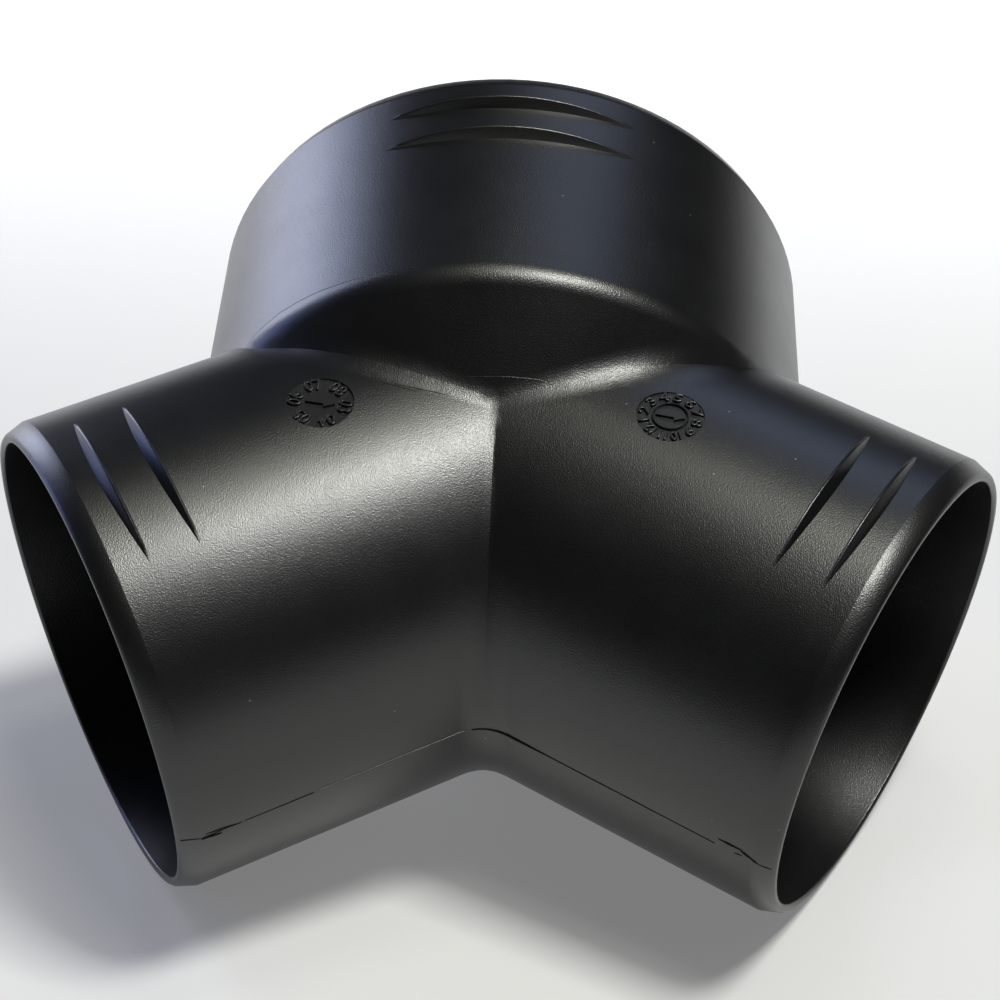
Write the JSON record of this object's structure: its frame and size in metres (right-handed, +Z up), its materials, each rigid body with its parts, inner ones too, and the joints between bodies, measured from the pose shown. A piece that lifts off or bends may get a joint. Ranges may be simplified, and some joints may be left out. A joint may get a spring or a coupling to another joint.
{
  "type": "duct y branch",
  "caption": "Moulded plastic Y branch for warm-air ducting: one wide barbed spigot splits into a pair of narrower barbed spigots.",
  "frame": {"origin": "on the floor, under the middle of the part's box as it lies", "axes": "+X across both branches, +Y towards the trunk's mouth, +Z up from the floor the part rests on; the duct's plane is pitched up 15.4 degrees towards the trunk"},
  "size_m": [0.126, 0.1004, 0.0855],
  "materials": {
    "black_plastic": "satin black glass-filled nylon"
  },
  "bodies": {
    "root": {"y_branch_body": "black_plastic"}
  },
  "joints": []
}
